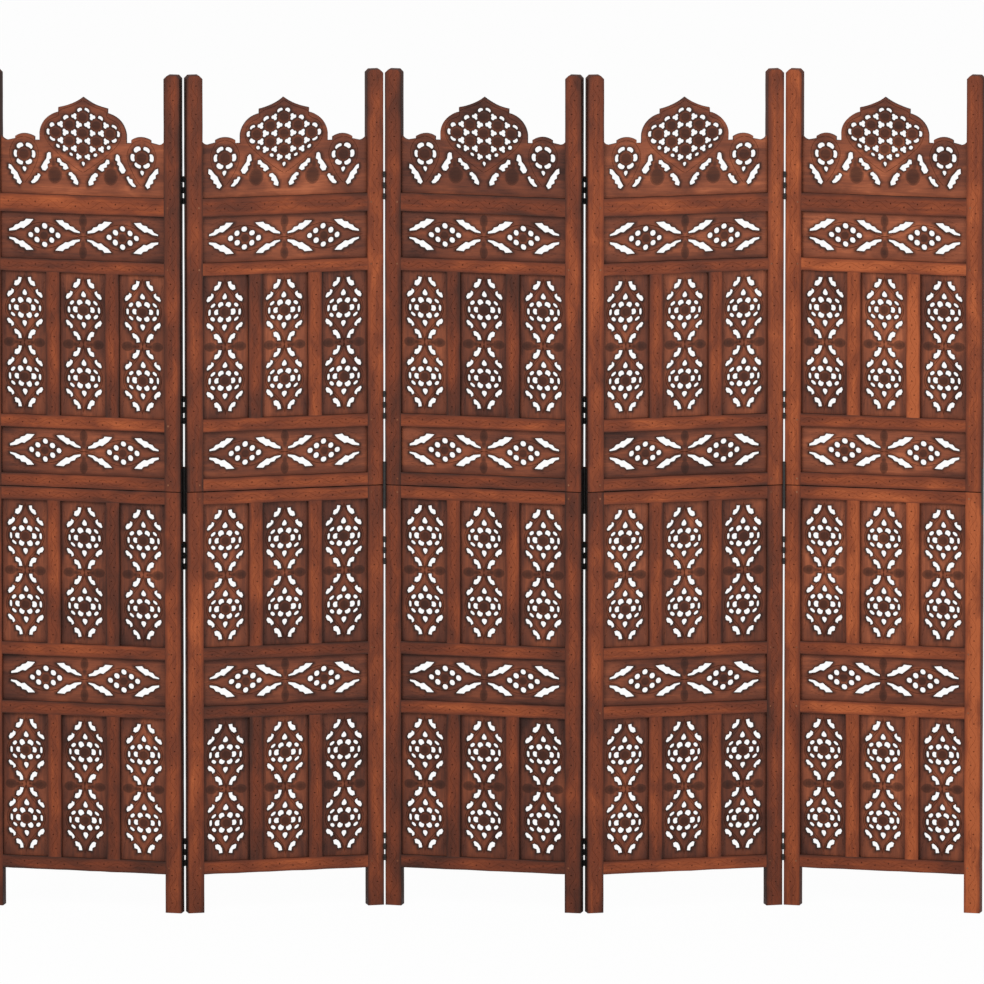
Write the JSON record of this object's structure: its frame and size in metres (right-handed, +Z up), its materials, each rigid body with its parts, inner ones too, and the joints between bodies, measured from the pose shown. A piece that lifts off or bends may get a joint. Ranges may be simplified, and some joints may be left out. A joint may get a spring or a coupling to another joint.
{
  "type": "carved folding screen",
  "caption": "Free-standing wooden folding screen of hinged leaves, with pierced and vine-carved panels, domed crests and black steel hinges.",
  "frame": {"origin": "on the floor, under the middle of the middle leaf, at the middle of the standing row", "axes": "+X along the row of leaves, to the right seen from the carved front; +Y towards the back, so the front faces -Y; +Z up"},
  "size_m": [1.9428, 0.115, 1.65],
  "materials": {
    "frame_wood": "satin stained",
    "carved_wood": "satin stained",
    "peg_wood": "satin stained",
    "black_steel": "black semi-gloss paint"
  },
  "bodies": {
    "leaf_1": {"leaf_1_upper_stiles": "frame_wood", "leaf_1_lower_stiles": "frame_wood", "leaf_1_rails": "frame_wood", "leaf_1_muntins": "frame_wood", "leaf_1_tall_panels": "carved_wood", "leaf_1_wide_panels": "carved_wood", "leaf_1_crest": "carved_wood", "leaf_1_joint_pegs": "peg_wood", "leaf_1_screws": "black_steel", "leaf_1_strap": "black_steel", "hinge_1_left_plates": "black_steel", "hinge_1_pins": "black_steel"},
    "leaf_2": {"leaf_2_upper_stiles": "frame_wood", "leaf_2_lower_stiles": "frame_wood", "leaf_2_rails": "frame_wood", "leaf_2_muntins": "frame_wood", "leaf_2_tall_panels": "carved_wood", "leaf_2_wide_panels": "carved_wood", "leaf_2_crest": "carved_wood", "leaf_2_joint_pegs": "peg_wood", "leaf_2_screws": "black_steel", "hinge_1_right_plates": "black_steel", "hinge_2_left_plates": "black_steel", "hinge_2_pins": "black_steel"},
    "leaf_3": {"leaf_3_upper_stiles": "frame_wood", "leaf_3_lower_stiles": "frame_wood", "leaf_3_rails": "frame_wood", "leaf_3_muntins": "frame_wood", "leaf_3_tall_panels": "carved_wood", "leaf_3_wide_panels": "carved_wood", "leaf_3_crest": "carved_wood", "leaf_3_joint_pegs": "peg_wood", "leaf_3_screws": "black_steel", "hinge_2_right_plates": "black_steel", "hinge_3_left_plates": "black_steel", "hinge_3_pins": "black_steel"},
    "leaf_4": {"leaf_4_upper_stiles": "frame_wood", "leaf_4_lower_stiles": "frame_wood", "leaf_4_rails": "frame_wood", "leaf_4_muntins": "frame_wood", "leaf_4_tall_panels": "carved_wood", "leaf_4_wide_panels": "carved_wood", "leaf_4_crest": "carved_wood", "leaf_4_joint_pegs": "peg_wood", "leaf_4_screws": "black_steel", "hinge_3_right_plates": "black_steel", "hinge_4_left_plates": "black_steel", "hinge_4_pins": "black_steel"},
    "leaf_5": {"leaf_5_upper_stiles": "frame_wood", "leaf_5_lower_stiles": "frame_wood", "leaf_5_rails": "frame_wood", "leaf_5_muntins": "frame_wood", "leaf_5_tall_panels": "carved_wood", "leaf_5_wide_panels": "carved_wood", "leaf_5_crest": "carved_wood", "leaf_5_joint_pegs": "peg_wood", "leaf_5_screws": "black_steel", "leaf_5_strap": "black_steel", "hinge_4_right_plates": "black_steel"}
  },
  "joints": [
    {"name": "fold_2_3", "type": "hinge", "parent": "leaf_3", "child": "leaf_2", "pos_m": [-0.19461, 0.03124, 0], "axis": [0, 0, 1], "range_deg": [-27.2, 152.8]},
    {"name": "fold_1_2", "type": "hinge", "parent": "leaf_2", "child": "leaf_1", "pos_m": [-0.58383, -0.03124, 0], "axis": [0, 0, 1], "range_deg": [-152.8, 27.2]},
    {"name": "fold_3_4", "type": "hinge", "parent": "leaf_3", "child": "leaf_4", "pos_m": [0.19461, -0.03124, 0], "axis": [0, 0, 1], "range_deg": [-27.2, 152.8]},
    {"name": "fold_4_5", "type": "hinge", "parent": "leaf_4", "child": "leaf_5", "pos_m": [0.58383, 0.03124, 0], "axis": [0, 0, 1], "range_deg": [-152.8, 27.2]}
  ],
  "couplings": [
    {"joint": "fold_1_2", "follows": "fold_2_3", "ratio": -1},
    {"joint": "fold_4_5", "follows": "fold_3_4", "ratio": -1}
  ]
}
